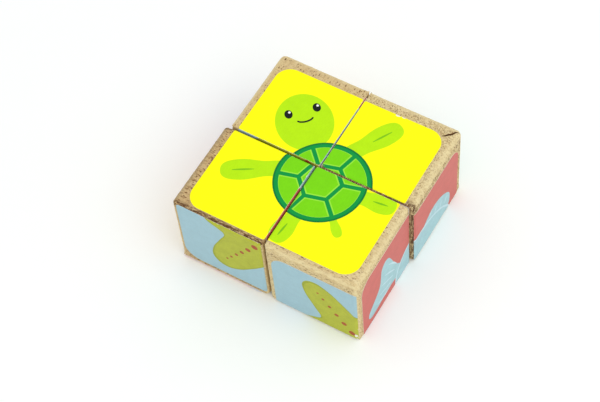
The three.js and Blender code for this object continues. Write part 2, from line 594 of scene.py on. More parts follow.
def turtle() -> Artwork:
    """A plain turtle seen from above on yellow, its head towards the upper left corner.

    Returns:
        The picture's shapes, from the back to the front.
    """
    middle, heading, shell = (0.13, -0.14), 135, 0.45
    front_limb = (0.6, 0.24, (0.24, 0.3), 75)
    back_limb = (0.42, 0.22, (-0.24, 0.26), 128)
    art: Artwork = [(Palette.SUN, WHOLE)]
    for length, width, root, turn in (front_limb, back_limb):
        limb = placed(paddle(length, width), root, turn)
        crease = stroke([(share * length, 0) for share in (0.45, 0.62, 0.8)], 0.02)
        for ink, shape in ((Palette.LIME, limb), (Palette.MOSS, placed(crease, root, turn))):
            art += [(ink, placed(side, middle, heading)) for side in both_sides(shape)]
    head = ellipse((0.72, 0), (0.33, 0.28), points=72)
    tail = placed(paddle(0.24, 0.1), (-0.4, 0), 180)
    art += [(Palette.LIME, placed(part, middle, heading)) for part in (head, tail)]
    art.append((Palette.SHELL_EDGE, ellipse(middle, (shell, shell), points=96)))
    art.append((Palette.SHELL, ellipse(middle, (0.96 * shell, 0.96 * shell), points=96)))
    for plate in shell_plates():
        inner = plate + (plate.mean(0) - plate) * 0.08
        art.append((Palette.LEAF_RIM, placed(shell * plate, middle, heading)))
        art.append((Palette.LEAF, placed(shell * inner, middle, heading)))
    return art + plain_face((-0.46, 0.47), 0.28, 45)


def starfish() -> Artwork:
    """A plain five-armed starfish with a row of dots down each arm, on pale blue.

    Returns:
        The picture's shapes, from the back to the front.
    """
    arm = [(0.44, -36), (0.56, -23), (0.74, -14), (0.87, -7), (0.91, 0), (0.87, 7), (0.74, 14), (0.56, 23)]
    body = blob(polar([(r, t + 90 + 72 * k) for k in range(5) for r, t in arm]))
    art: Artwork = [(Palette.SKY, WHOLE), (Palette.OLIVE_DARK, body), (Palette.OLIVE, 0.965 * body)]
    for k in range(5):
        row = polar([(r, 90 + 72 * k) for r in (0.14, 0.28, 0.41, 0.53, 0.64, 0.73)])
        art += dots(Palette.RUST, row, 0.036)
    return art


def fish() -> Artwork:
    """A plain pale blue fish with smooth fins on coral red, its tail to the upper left.

    Returns:
        The picture's shapes, from the back to the front.
    """
    middle, tail_turn, body = (0.25, -0.08), 150, (0.58, 0.44)
    tail = blob([(0.42, 0), (0.7, 0.15), (0.96, 0.34), (1.06, 0.26), (0.98, 0), (1.06, -0.26), (0.96, -0.34),
                 (0.7, -0.15)])
    fin = blob([(0.28, 0.3), (0.2, 0.52), (0.0, 0.6), (-0.24, 0.54), (-0.3, 0.34), (0, 0.26)])
    art: Artwork = [(Palette.CORAL, WHOLE)]
    art += [(Palette.ICE, placed(part, middle, tail_turn)) for part in (tail, *both_sides(fin))]
    for turn in (-14, -7, 0, 7, 14):
        ray = stroke(polar([(0.68, 0.8 * turn), (0.8, turn), (0.93, 1.05 * turn)]), 0.02)
        art.append((Palette.ICE_LIGHT, placed(ray, middle, tail_turn)))
    for x in (-0.18, -0.06, 0.06, 0.18):
        ray = stroke([(x, 0.44), (x, 0.49), (x, 0.54)], 0.018)
        art += [(Palette.ICE_LIGHT, placed(side, middle, tail_turn)) for side in both_sides(ray)]
    art.append((Palette.ICE_LIGHT, placed(ellipse((0, 0), body, points=96), middle, tail_turn)))
    art.append((Palette.ICE, placed(ellipse((0, 0), (0.555, 0.415), points=96), middle, tail_turn)))
    scale = stroke(polar([(0.06, t) for t in range(-80, 81, 20)]), 0.016)
    for column in range(5):
        for row in range(-2 + column // 4, 3 - column // 4):
            place = (0.34 - 0.12 * column, 0.13 * row)
            art.append((Palette.SKY, placed(scale + np.array(place), middle, tail_turn)))
    eye, glint, mouth = (-0.34, -0.1), (-0.355, -0.13), [(-0.52, 0.06), (-0.46, 0.09), (-0.4, 0.09)]
    art.append((Palette.BLACK, placed(ellipse(eye, (0.045, 0.045), points=28), middle, tail_turn)))
    art.append((Palette.WHITE, placed(ellipse(glint, (0.014, 0.014), points=12), middle, tail_turn)))
    art.append((Palette.BLACK, placed(stroke(mouth, 0.022, 0.7), middle, tail_turn)))
    return art


def crab() -> Artwork:
    """An orange crab with raised claws, on sand.

    Returns:
        The picture's shapes, from the back to the front.
    """
    legs = [stroke([(0.38, y), (0.62, y + 0.02), (0.74, y - 0.14)], 0.075, 0.5)
            for y in (-0.08, -0.24, -0.4)]
    arm = stroke([(0.3, 0.12), (0.52, 0.22), (0.6, 0.38)], 0.09, 0.8)
    claw = blob([(0.56, 0.34), (0.44, 0.5), (0.46, 0.7), (0.58, 0.8), (0.6, 0.64), (0.68, 0.8), (0.78, 0.66),
                 (0.76, 0.48), (0.66, 0.36)])
    stalk = stroke([(0.17, 0.1), (0.17, 0.26)], 0.045, 1.0)
    half = [(Palette.CRAB_DARK, shape) for shape in (*legs, arm)]
    half += [(Palette.CRAB, claw), (Palette.CRAB_DARK, stalk)]
    art: Artwork = [(Palette.SAND, WHOLE)] + half + [(ink, mirrored(loop)) for ink, loop in half]
    art.append((Palette.CRAB, ellipse((0, -0.15), (0.5, 0.38), power=2.4, points=72)))
    art.append((Palette.CRAB_DARK, stroke([(-0.4, -0.36), (0, -0.48), (0.4, -0.36)], 0.05)))
    for side in (-1, 1):
        row = [(side * 0.36, -0.02), (side * 0.4, -0.11), (side * 0.39, -0.2)]
        art += dots(Palette.CRAB_DARK, row, 0.03)
    return art + plain_face((0, -0.04), 0.3)


def jellyfish() -> Artwork:
    """A crimson jellyfish on deep blue.

    Returns:
        The picture's shapes, from the back to the front.
    """
    art: Artwork = [(Palette.DEEP, WHOLE)]
    for x in (-0.42, -0.21, 0, 0.21, 0.42):
        arm = [(x, -0.05), (x + 0.09, -0.3), (x - 0.07, -0.52), (x + 0.04, -0.8)]
        art.append((Palette.PINK, stroke(arm, 0.07, 0.4)))
    dome = blob([(-0.6, -0.02), (-0.64, 0.24), (-0.5, 0.54), (-0.24, 0.74), (0, 0.79), (0.24, 0.74),
                 (0.5, 0.54), (0.64, 0.24), (0.6, -0.02), (0.4, -0.1), (0.2, -0.02), (0, -0.1),
                 (-0.2, -0.02), (-0.4, -0.1)])
    art.append((Palette.CRIMSON, dome))
    art.append((Palette.PINK, stroke([(-0.46, 0.3), (-0.36, 0.5), (-0.18, 0.63)], 0.07)))
    for side in (-1, 1):
        row = [(side * 0.8, side * 0.55), (side * 0.75, side * 0.68), (side * 0.8, side * 0.78)]
        art += dots(Palette.SKY, row, 0.05)
    return art + plain_face((0, 0.3), 0.3)


def whale() -> Artwork:
    """A slate blue whale on mint, blowing water.

    Returns:
        The picture's shapes, from the back to the front.
    """
    body = blob([(-0.78, -0.1), (-0.7, 0.2), (-0.44, 0.38), (-0.1, 0.4), (0.26, 0.26), (0.5, 0.08),
                 (0.66, 0.06), (0.72, 0.2), (0.66, 0.36), (0.8, 0.34), (0.9, 0.46), (0.92, 0.24),
                 (0.82, 0.04), (0.7, -0.16), (0.46, -0.4), (0.1, -0.54), (-0.34, -0.54), (-0.66, -0.38)])
    belly = blob([(-0.76, -0.14), (-0.6, -0.2), (-0.3, -0.26), (0.06, -0.34), (0.3, -0.46), (0.1, -0.525),
                  (-0.34, -0.525), (-0.64, -0.37)])
    art: Artwork = [(Palette.MINT, WHOLE), (Palette.SLATE, body), (Palette.WHITE, belly)]
    left_jet = [(-0.3, 0.42), (-0.3, 0.6), (-0.42, 0.74), (-0.54, 0.66)]
    right_jet = [(-0.3, 0.42), (-0.29, 0.6), (-0.17, 0.75), (-0.05, 0.67)]
    art += [(Palette.SKY, stroke(jet, 0.05)) for jet in (left_jet, right_jet)]
    art.append((Palette.SKY, stroke([(-0.5, -0.34), (-0.2, -0.42), (0.1, -0.44)], 0.02)))
    return art + plain_face((-0.38, 0.1), 0.24)


class Picture(Enum):
    """The six pictures, by the word that ends the names of their labels' solids."""

    TURTLE = "turtle"
    STARFISH = "starfish"
    FISH = "fish"
    CRAB = "crab"
    JELLYFISH = "jellyfish"
    WHALE = "whale"


DRAWINGS: dict[Picture, Callable[[], Artwork]] = {
    Picture.TURTLE: turtle, Picture.STARFISH: starfish, Picture.FISH: fish,
    Picture.CRAB: crab, Picture.JELLYFISH: jellyfish, Picture.WHALE: whale,
}


@cache
def artwork(picture: Picture) -> tuple[tuple[Palette, Loop], ...]:
    """A picture's shapes, from the back to the front, drawn once."""
    return tuple(DRAWINGS[picture]())


# ---------------------------------------------------------------- cubes and labels


class Face(Enum):
    """A face of a cube: outwards, then rightwards and upwards for someone who looks at it."""

    TOP = ((0, 0, 1), (1, 0, 0), (0, 1, 0))
    BOTTOM = ((0, 0, -1), (1, 0, 0), (0, -1, 0))
    FRONT = ((0, -1, 0), (1, 0, 0), (0, 0, 1))
    BACK = ((0, 1, 0), (-1, 0, 0), (0, 0, 1))
    LEFT = ((-1, 0, 0), (0, -1, 0), (0, 0, 1))
    RIGHT = ((1, 0, 0), (0, 1, 0), (0, 0, 1))

    @property
    def axes(self) -> np.ndarray:
        """Rows: outwards, rightwards, upwards."""
        return np.array(self.value, float)


@dataclass
class Seat:
    """Where a cube stands: its middle, half its side and its turn, all read from the frame."""

    block: str
    middle: np.ndarray = field(init=False)
    half: float = field(init=False)
    turn: np.ndarray = field(init=False)

    def __post_init__(self) -> None:
        """Reads the cube's box and the direction of its joint."""
        low, high = (np.array(corner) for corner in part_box(f"cube_{self.block}"))
        self.middle = (low + high) / 2
        self.half = float(high[2] - low[2]) / 2
        angle, quarter = 0.0, math.pi / 2
        for joint in frame["joints"]:
            if joint["child"] == self.body:
                x, y = joint["axis"][:2]
                angle = (math.atan2(y, x) + quarter / 2) % quarter - quarter / 2
        c, s = math.cos(angle), math.sin(angle)
        self.turn = np.array([(c, -s, 0), (s, c, 0), (0, 0, 1)])

    @property
    def body(self) -> str:
        """The name of the body that the cube is in."""
        return f"{self.block}_block"

    def to_local(self, points: np.ndarray) -> np.ndarray:
        """Takes points of the frame into the cube's own axes, from its middle."""
        return (points - self.middle) @ self.turn

    def to_frame(self, points: np.ndarray) -> np.ndarray:
        """Takes points in the cube's own axes back into the frame."""
        return points @ self.turn.T + self.middle


def add_piece(name: str, mesh: bpy.types.Mesh, seat: Seat, slot: str,
              *replaced: str) -> bpy.types.Object:
    """Puts a mesh in the scene as a piece of a block.

    Args:
        name: The piece's name.
        mesh: Its mesh, in place in the frame.
        seat: The block it belongs to.
        slot: The record's material slot; not used.
        *replaced: CAD nodes that it stands for.

    Returns:
        The piece.
    """
    piece = bpy.data.objects.new(name, mesh)
    bpy.context.scene.collection.objects.link(piece)
    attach(piece, seat.body)
    if replaced:
        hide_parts(*replaced)
    log.info("%s: %d faces on %s", name, len(mesh.polygons), seat.body)
    return piece


@dataclass(frozen=True)
class Chip:
    """A spot where the print is rubbed off and the white paper shows.

    Its place is given as shares of the label's width and height, from its lower left corner.
    """

    across: float
    up: float
    width: float
    height: float

    def outline(self, low: np.ndarray, high: np.ndarray) -> Loop:
        """Draws the ragged outline of the spot on a label with these corners.

        Args:
            low: The label's lower left corner.
            high: Its upper right corner.

        Returns:
            The closed outline.
        """
        middle = low + (high - low) * np.array((self.across, self.up))
        turns = np.linspace(0, 2 * math.pi, 13, endpoint=False)
        ring = np.column_stack([np.cos(turns), np.sin(turns)])
        slice_height = 900 * self.across  # each chip is cut from its own slice of the noise
        sway = np.array([noise.noise(Vector((*(3 * place), slice_height))) for place in ring])
        return middle + ring * np.array((self.width, self.height)) / 2 * (1 + 0.45 * sway)[:, None]


def scuffs(seed: int, corner: np.ndarray, count: int = 9) -> list[Chip]:
    """Small chips along the two edges of a label that meet the next cubes.

    Args:
        seed: Chooses one of many scatters.
        corner: Signs of the label's picture corner, which is away from those edges.
        count: How many there are.

    Returns:
        The chips.
    """
    pick = random.Random(seed)
    made = []
    for k in range(count):
        along = 0.04 + 0.92 * pick.random()
        length = (0.35 + 0.9 * pick.random() ** 2) * MM
        depth = (0.12 + 0.2 * pick.random()) * MM
        if k % 2:
            made.append(Chip(0.0 if corner[0] > 0 else 1.0, along, depth, length))
        else:
            made.append(Chip(along, 0.0 if corner[1] > 0 else 1.0, length, depth))
    return made


@dataclass
class PrintedLabel:
    """A paper label on one face of a cube, cut from one quarter of a picture."""

    seat: Seat
    picture: Picture
    quarter: tuple[int, int]
    pitch: float
    chips: tuple[Chip, ...] = ()
    paper: float = 0.12 * MM
    picture_corner: float = 6.5 * MM
    small_corner: float = 0.8 * MM
    wrap: float = math.radians(42)
    edge_step: float = 1.2 * MM
    shape_step: float = 1.0 * MM
    bend_step: float = 1.1 * MM
    bend_insets: tuple[float, ...] = (0.12, 0.26, 0.42, 0.62, 0.9, 1.3)
    face: Face = field(init=False)
    low: np.ndarray = field(init=False)
    high: np.ndarray = field(init=False)
    proud: float = field(init=False)

    def __post_init__(self) -> None:
        """Reads the label's face and its extents from its solid in the frame."""
        vertices = frame["nodes"][self.node].data.vertices
        points = self.seat.to_local(np.array([v.co for v in vertices], float))
        middle = (points.min(0) + points.max(0)) / 2
        self.face = max(Face, key=lambda face: float(middle @ face.axes[0]))
        flat = points @ self.face.axes.T
        self.proud = float(flat[:, 0].max()) - self.seat.half
        self.low, self.high = flat[:, 1:].min(0), flat[:, 1:].max(0)

    @property
    def node(self) -> str:
        """The name of the label's solid."""
        return f"label_{self.seat.block}_{self.picture.value}"

    @property
    def corner(self) -> np.ndarray:
        """Signs of the face's corner that has the picture's corner on it."""
        return -np.sign(self.low + self.high)

    def flush_sides(self) -> list[np.ndarray]:
        """Directions in the cube's axes of the two edges that the label reaches."""
        axes = self.face.axes
        return [-self.corner[0] * axes[1], -self.corner[1] * axes[2]]

    def outline(self) -> Loop:
        """The label's flat outline: a rectangle with one corner rounded more than the others.

        Returns:
            The closed outline on the face, from the face's middle.
        """
        loop = []
        for sign_x, sign_y in ((1, -1), (1, 1), (-1, 1), (-1, -1)):
            big = (sign_x, sign_y) == tuple(self.corner)
            radius = self.picture_corner if big else self.small_corner
            x = (self.high[0] - radius) if sign_x > 0 else (self.low[0] + radius)
            y = (self.high[1] - radius) if sign_y > 0 else (self.low[1] + radius)
            start = math.atan2(sign_y, sign_x) - math.pi / 4
            for t in np.linspace(start, start + math.pi / 2, 14 if big else 5):
                loop.append((x + radius * math.cos(t), y + radius * math.sin(t)))
        return refined(np.array(loop), self.edge_step)

    def placed(self, loop: Loop) -> Loop:
        """Takes an outline from picture units to the label's own place on its face, in metres.

        Args:
            loop: The outline in the picture.

        Returns:
            The outline on the face, from the face's middle.
        """
        local = loop * self.pitch - np.array(self.quarter) * self.pitch / 2
        want = math.atan2(self.corner[1], self.corner[0])
        have = math.atan2(self.quarter[1], self.quarter[0])
        turn = round((want - have) / (math.pi / 2)) * math.pi / 2
        c, s = math.cos(turn), math.sin(turn)
        return local @ np.array([(c, s), (-s, c)])

    def bend_points(self) -> np.ndarray:
        """Rows of points along the edges that the label reaches, where it bends over.

        Returns:
            The points.
        """
        rows = []
        for axis in (0, 1):
            end = self.low[axis] if self.corner[axis] > 0 else self.high[axis]
            other = np.arange(self.low[1 - axis] + 0.5 * MM, self.high[1 - axis], self.bend_step)
            for inset in self.bend_insets:
                row = np.full((len(other), 2), end - np.sign(end) * inset * MM)
                row[:, 1 - axis] = other
                rows.append(row)
        return np.vstack(rows)

    def layers(self) -> list[tuple[Palette, Loop | None]]:
        """Finds what is printed on the label, from the back to the front, and its chips last.

        Returns:
            Each shape's ink and outline; an outline of None stands for the whole label.
        """
        found: list[tuple[Palette, Loop | None]] = []
        for ink, loop in artwork(self.picture):
            placed = refined(self.placed(loop), self.shape_step)
            if loop is WHOLE:
                found.append((ink, None))
            elif (placed.max(0) > self.low).all() and (placed.min(0) < self.high).all():
                found.append((ink, placed))
        seed = 10 * len(self.node) + list(Picture).index(self.picture)
        for chip in (*self.chips, *scuffs(seed, self.corner)):
            found.append((Palette.PAPER, refined(chip.outline(self.low, self.high), self.shape_step)))
        return found

    def cut(self) -> tuple[np.ndarray, np.ndarray, list[Palette], np.ndarray]:
        """Cuts the flat label into triangles along every printed outline.

        Returns:
            The flat points, the triangles, the inks with bare paper last, and each triangle's ink.
        """
        edge, layers = self.outline(), self.layers()
        points, edges = [], []
        for loop in (edge, *(loop for _, loop in layers if loop is not None)):
            first, count = len(points), len(loop)
            points += [Vector(p / MM) for p in loop]
            edges += [(first + k, first + (k + 1) % count) for k in range(count)]
        points += [Vector(p / MM) for p in self.bend_points()]
        made = delaunay_2d_cdt(points, edges, [], 0, 1e-5)
        flat = np.array([tuple(v) for v in made[0]]) * MM
        triangles = np.array(made[2])
        centres = flat[triangles].mean(1)
        kept = inside(centres, edge)
        triangles, centres = triangles[kept], centres[kept]
        inks = [*dict.fromkeys(ink for ink, _ in layers if ink is not Palette.PAPER), Palette.PAPER]
        chosen = np.zeros(len(triangles), int)
        for ink, loop in layers:
            covered = slice(None) if loop is None else inside(centres, loop)
            chosen[covered] = inks.index(ink)
        used, index = np.unique(triangles, return_inverse=True)
        return flat[used], index.reshape(-1, 3), inks, chosen

    def draped(self, flat: np.ndarray, radii: dict[int, float]) -> np.ndarray:
        """Lays flat points on the face and bends them over the edges that the label reaches.

        Args:
            flat: Points on the flat label.
            radii: The rounding of the cube's edge on the label's first and second axis.

        Returns:
            The points in the frame.
        """
        bent, drop = flat.copy(), np.zeros(len(flat))
        for axis, radius in radii.items():
            sign = -self.corner[axis]
            end = abs(self.low[axis] if sign < 0 else self.high[axis])
            start = self.seat.half - radius
            share = np.clip((sign * flat[:, axis] - start) / (end - start), 0, 1)
            outer = radius + self.proud
            over = share > 0
            bent[over, axis] = sign * (start + outer * np.sin(share[over] * self.wrap))
            drop += outer * (1 - np.cos(share * self.wrap))
        out = self.seat.half + self.proud - drop
        return self.seat.to_frame(np.column_stack([out, bent]) @ self.face.axes)

    def build(self, radii: dict[int, float]) -> bpy.types.Object:
        """Makes the label and puts it on its block.

        Args:
            radii: The rounding of the cube's edge on the label's first and second axis.

        Returns:
            The label.
        """
        flat, triangles, inks, chosen = self.cut()
        mesh = bpy.data.meshes.new(f"{self.seat.block}_{self.picture.value}_print")
        mesh.from_pydata(self.draped(flat, radii).tolist(), [], triangles.tolist())
        mesh.polygons.foreach_set("material_index", chosen.astype(np.int32))
        for ink in inks:
            mesh.materials.append(ink_material(ink.value))
        slot = f"{self.picture.value}_print"
        piece = add_piece(mesh.name, mesh, self.seat, slot, self.node)
        sheet = piece.modifiers.new("paper", "SOLIDIFY")
        sheet.thickness = self.paper
        sheet.offset = -1.0  # the paper's thickness goes inwards, towards the wood
        sheet.material_offset = len(inks)
        sheet.material_offset_rim = len(inks)
        return piece


@dataclass(frozen=True)
class FleckScatter:
    """Open pores in the bare wood: small dark slivers that lie along the fibres."""

    length: float = 1.1 * MM
    width: float = 0.34 * MM
    lift: float = 0.012 * MM
    size_range: tuple[float, float] = (0.4, 1.25)
    end_on: float = 0.3
    seed: int = 7

    def tree(self) -> bpy.types.NodeTree:
        """Makes the tree that scatters slivers over a surface, where its bare attribute allows them.

        Returns:
            The node tree.
        """
        tree = bpy.data.node_groups.new("fleck_scatter", "GeometryNodeTree")
        inputs = {"Surface": "Geometry", "Length": "Float", "Width": "Float", "Lift": "Float",
                  "Density": "Float", "Grain": "Vector", "Seed": "Int"}
        for name, kind in inputs.items():
            tree.interface.new_socket(name, in_out="INPUT", socket_type=f"NodeSocket{kind}")
        tree.interface.new_socket("Slivers", in_out="OUTPUT", socket_type="NodeSocketGeometry")
        sheet = NodeSheet(tree)
        given = sheet.add("NodeGroupInput").outputs
        place = sheet.add("GeometryNodeInputNamedAttribute", {"data_type": "FLOAT"}, {"Name": "bare"})
        density = sheet.math("MULTIPLY", place.outputs["Attribute"], given["Density"])
        spread = sheet.add("GeometryNodeDistributePointsOnFaces", {"distribute_method": "RANDOM"},
                           {"Mesh": given["Surface"], "Density": density, "Seed": given["Seed"]})
        normal = spread.outputs["Normal"]
        raised = sheet.add("ShaderNodeVectorMath", {"operation": "SCALE"},
                           {0: normal, "Scale": given["Lift"]})
        points = sheet.add("GeometryNodeSetPosition", None,
                           {"Geometry": spread.outputs["Points"], "Offset": raised.outputs[0]})
        upright = sheet.add("FunctionNodeAlignRotationToVector", {"axis": "Z"}, {"Vector": normal})
        along = sheet.add("FunctionNodeAlignRotationToVector", {"axis": "X", "pivot_axis": "Z"},
                          {"Rotation": upright.outputs[0], "Vector": given["Grain"]})
        facing = sheet.add("ShaderNodeVectorMath", {"operation": "DOT_PRODUCT"},
                           {0: normal, 1: given["Grain"]})
        flat = sheet.remap(sheet.math("ABSOLUTE", facing.outputs["Value"]), 0.3, 1.0, 1.0, self.end_on)
        smallest, largest = self.size_range
        size = sheet.add("FunctionNodeRandomValue", {"data_type": "FLOAT"},
                         {2: smallest, 3: largest, "Seed": given["Seed"]})
        reach = sheet.math("MULTIPLY", sheet.math("MULTIPLY", flat, size.outputs[1]), given["Length"])
        scale = sheet.add("ShaderNodeCombineXYZ", None, {0: reach, 1: given["Width"], 2: 1.0})
        sliver = sheet.add("GeometryNodeMeshCircle", {"fill_type": "NGON"}, {"Vertices": 8, "Radius": 0.5})
        copies = sheet.add("GeometryNodeInstanceOnPoints", None,
                           {"Points": points.outputs[0], "Instance": sliver.outputs[0],
                            "Rotation": along.outputs[0], "Scale": scale.outputs[0]})
        real = sheet.add("GeometryNodeRealizeInstances", None, {"Geometry": copies.outputs[0]})
        dressed = sheet.add("GeometryNodeSetMaterial", None,
                            {"Geometry": real.outputs[0], "Material": pore_and_crack_shade_material()})
        sheet.add("NodeGroupOutput", None, {"Slivers": dressed.outputs[0]})
        return tree

    def scatter(self, surface: bpy.types.Mesh, name: str, density: float,
                grain: tuple[float, ...]) -> bpy.types.Mesh:
        """Scatters slivers over a surface.

        Args:
            surface: The wood's mesh, with its bare attribute.
            name: The name of the new mesh.
            density: Slivers for each square millimetre of bare wood.
            grain: Direction of the fibres.

        Returns:
            A plain mesh of the slivers alone.
        """
        carrier = bpy.data.objects.new(f"{name}_carrier", surface)
        bpy.context.scene.collection.objects.link(carrier)
        modifier = carrier.modifiers.new("flecks", "NODES")
        modifier.node_group = fleck_tree()
        values = {"Length": self.length, "Width": self.width, "Lift": self.lift, "Density": density / MM**2,
                  "Grain": grain, "Seed": self.seed}
        for socket in modifier.node_group.interface.items_tree:
            if socket.in_out == "INPUT" and socket.name in values:
                modifier[socket.identifier] = values[socket.name]
        made = bpy.data.meshes.new_from_object(carrier.evaluated_get(bpy.context.evaluated_depsgraph_get()))
        made.name = name
        bpy.data.objects.remove(carrier)
        return made


@cache
def fleck_tree() -> bpy.types.NodeTree:
    """The scatter's node tree, made once."""
    return FleckScatter().tree()


@dataclass
class Crack:
    """A thin jagged check in the wood, cut down from the top face."""

    start: tuple[float, float]
    end: tuple[float, float]
    width: float = 1.0 * MM
    depth: float = 1.5 * MM
    waver: float = 0.6 * MM
    overcut: float = 0.3 * MM
    bends: int = 9

    def wedge(self, seat: Seat) -> bpy.types.Object:
        """Makes the wedge that is taken out of the wood, wide at the top and sharp at the bottom.

        Args:
            seat: The cube that the crack is in; start and end count in half sides from its middle.

        Returns:
            The cutting object.
        """
        a, b = (np.array(end) * seat.half for end in (self.start, self.end))
        along = (b - a) / np.linalg.norm(b - a)
        across = np.array([-along[1], along[0]])
        rows = []
        for k in range(self.bends):
            share = k / (self.bends - 1)
            sway = self.waver * noise.noise(Vector((5.3 * share, 2.1, 0.7)))
            half = self.width / 2 * math.sin(math.pi * (0.06 + 0.88 * share)) + 0.03 * MM
            centre = a + (b - a) * share + across * sway
            high, low = seat.half + self.overcut, seat.half - self.depth
            rows += [(*(centre - across * half), high), (*(centre + across * half), high), (*centre, low)]
        faces = [(0, 1, 2), (3 * self.bends - 3, 3 * self.bends - 1, 3 * self.bends - 2)]
        for k in range(0, 3 * self.bends - 3, 3):
            faces += [(k, k + 3, k + 4, k + 1), (k + 1, k + 4, k + 5, k + 2), (k + 2, k + 5, k + 3, k)]
        mesh = bpy.data.meshes.new("crack_wedge")
        mesh.from_pydata(seat.to_frame(np.array(rows)).tolist(), [], faces)
        tool = bmesh.new()
        tool.from_mesh(mesh)
        bmesh.ops.recalc_face_normals(tool, faces=tool.faces)
        tool.to_mesh(mesh)
        tool.free()
        # The wedge's dark brown material goes onto the crack's walls: painted shade inside the crack
        mesh.materials.append(pore_and_crack_shade_material())
        wedge = bpy.data.objects.new("crack_wedge", mesh)
        bpy.context.scene.collection.objects.link(wedge)
        return wedge

    def cut(self, mesh: bpy.types.Mesh, seat: Seat) -> bpy.types.Mesh:
        """Cuts the crack into a mesh.

        Args:
            mesh: The wood.
            seat: The cube that it belongs to.

        Returns:
            The new mesh.
        """
        wedge = self.wedge(seat)
        carrier = bpy.data.objects.new("crack_carrier", mesh)
        bpy.context.scene.collection.objects.link(carrier)
        modifier = carrier.modifiers.new("crack", "BOOLEAN")
        modifier.object = wedge
        modifier.operation = "DIFFERENCE"
        modifier.solver = "EXACT"
        modifier.material_mode = "TRANSFER"
        made = bpy.data.meshes.new_from_object(carrier.evaluated_get(bpy.context.evaluated_depsgraph_get()))
        made.name = mesh.name
        bpy.data.objects.remove(carrier)
        bpy.data.objects.remove(wedge)
        return made


@dataclass
class WoodenCube:
    """A solid cube of wood, sanded soft on its bare edges and left sharper under the labels."""

    seat: Seat
    wood: BareWood
    labels: list[PrintedLabel]
    stain_and_shade_edges: dict[tuple[int, int, int], float]
    crack: Crack | None = None
    bare_radius: float = 2.4 * MM
    half_bare_radius: float = 1.7 * MM
    covered_radius: float = 0.55 * MM
    radius_blend: float = 0.3 * MM
    wear: float = 0.22 * MM
    wear_reach: float = 1.8 * MM
    coarse_wear: float = 2.6 * MM
    fine_wear: float = 0.8 * MM
    stain_and_shade_reach: float = 2.1 * MM
    edge_zone: float = 3.2 * MM
    edge_steps: int = 11
    face_steps: int = 40

    def edge_radius(self, first: np.ndarray, second: np.ndarray) -> float:
        """The rounding of the edge between two faces, given by their outward directions.

        Args:
            first: Outward direction of one face.
            second: Outward direction of the other.

        Returns:
            The radius, which is smaller where labels reach the edge.
        """
        reached = 0
        for label in self.labels:
            out = label.face.axes[0]
            for side in label.flush_sides():
                lies_on_first = out @ first > 0.5 and side @ second > 0.5
                lies_on_second = out @ second > 0.5 and side @ first > 0.5
                reached += lies_on_first or lies_on_second
        return (self.bare_radius, self.half_bare_radius, self.covered_radius)[reached]

    def edges(self) -> list[tuple[np.ndarray, np.ndarray]]:
        """The cube's twelve edges, each as the outward directions of its two faces."""
        outs = [face.axes[0] for face in Face]
        return [(a, b) for i, a in enumerate(outs) for b in outs[i + 1:] if abs(a @ b) < 0.5]

    def grid(self) -> tuple[np.ndarray, np.ndarray]:
        """A cube of squares, finer towards its edges.

        Returns:
            The points and the square faces, with shared points.
        """
        half, flat = self.seat.half, self.seat.half - self.edge_zone
        ends = np.linspace(flat, half, self.edge_steps + 1)
        line = np.concatenate([-ends[::-1], np.linspace(-flat, flat, self.face_steps + 1)[1:-1], ends])
        count = len(line)
        across, up = np.meshgrid(line, line)
        corner = (np.arange(count - 1)[:, None] * count + np.arange(count - 1)).ravel()
        squares = np.column_stack([corner, corner + 1, corner + count + 1, corner + count])
        points, faces = [], []
        for k, face in enumerate(Face):
            flat_points = np.column_stack([np.full(across.size, half), across.ravel(), up.ravel()])
            points.append(flat_points @ face.axes)
            faces.append(squares + k * count * count)
        merged, index = np.unique(np.round(np.vstack(points), 7), axis=0, return_inverse=True)
        return merged, index.reshape(-1)[np.vstack(faces)]

    def gap_to(self, points: np.ndarray, edge: tuple[np.ndarray, np.ndarray]) -> np.ndarray:
        """How far each point is from one edge of the sharp cube."""
        return np.hypot(self.seat.half - points @ edge[0], self.seat.half - points @ edge[1])

    def nearness(self, points: np.ndarray) -> tuple[np.ndarray, np.ndarray]:
        """How far each point is from its nearest edge, and the rounding that it takes part in.

        Args:
            points: Points on the sharp cube.

        Returns:
            The distances and the radii.
        """
        gaps = np.array([self.gap_to(points, edge) for edge in self.edges()])
        sizes = np.array([self.edge_radius(*edge) for edge in self.edges()])
        weights = 1 / (gaps + self.radius_blend) ** 4
        return gaps.min(0), sizes @ weights / weights.sum(0)

    def rounded(self, points: np.ndarray, radius: np.ndarray) -> tuple[np.ndarray, np.ndarray]:
        """Rounds the cube's edges and corners.

        Args:
            points: Points on the sharp cube.
            radius: The rounding at each point.

        Returns:
            The moved points and the outward direction at each.
        """
        core = np.clip(points, (radius - self.seat.half)[:, None], (self.seat.half - radius)[:, None])
        out = points - core
        out /= np.linalg.norm(out, axis=1)[:, None]
        return core + out * radius[:, None], out

    def covered(self, points: np.ndarray) -> np.ndarray:
        """How far inside a label's outline each point of the sharp cube is, negative outside all.

        Args:
            points: Points on the sharp cube.

        Returns:
            The depth at each point.
        """
        depth = np.full(len(points), -1.0)
        for label in self.labels:
            flat = points @ label.face.axes.T
            on_face = flat[:, 0] > self.seat.half - 1e-6
            inset = np.minimum(flat[:, 1:] - label.low, label.high - flat[:, 1:]).min(1)
            depth = np.where(on_face, np.maximum(depth, inset), depth)
        return depth

    def worn(self, points: np.ndarray, gap: np.ndarray, stain: np.ndarray) -> np.ndarray:
        """How deep the wear has gone at each point: uneven along the edges, slight on the faces.

        Args:
            points: Points on the sharp cube.
            gap: How far each is from its nearest edge.
            stain: How dark and rough the wood is there: stained on some edges, painted shade on others.

        Returns:
            The depth at each point.
        """
        shift = Vector(self.wood.offset)
        coarse = np.array([noise.noise(Vector(p / self.coarse_wear) + shift) for p in points])
        fine = np.array([noise.noise(Vector(p / self.fine_wear) - shift) for p in points])
        edge = np.exp(-((gap / self.wear_reach) ** 2))
        torn = stain * np.maximum(0, fine + 0.4 * coarse)
        return self.wear * edge * (0.5 + 0.5 * coarse + 0.35 * fine + 1.4 * torn) + 0.02 * MM * (1 + fine)

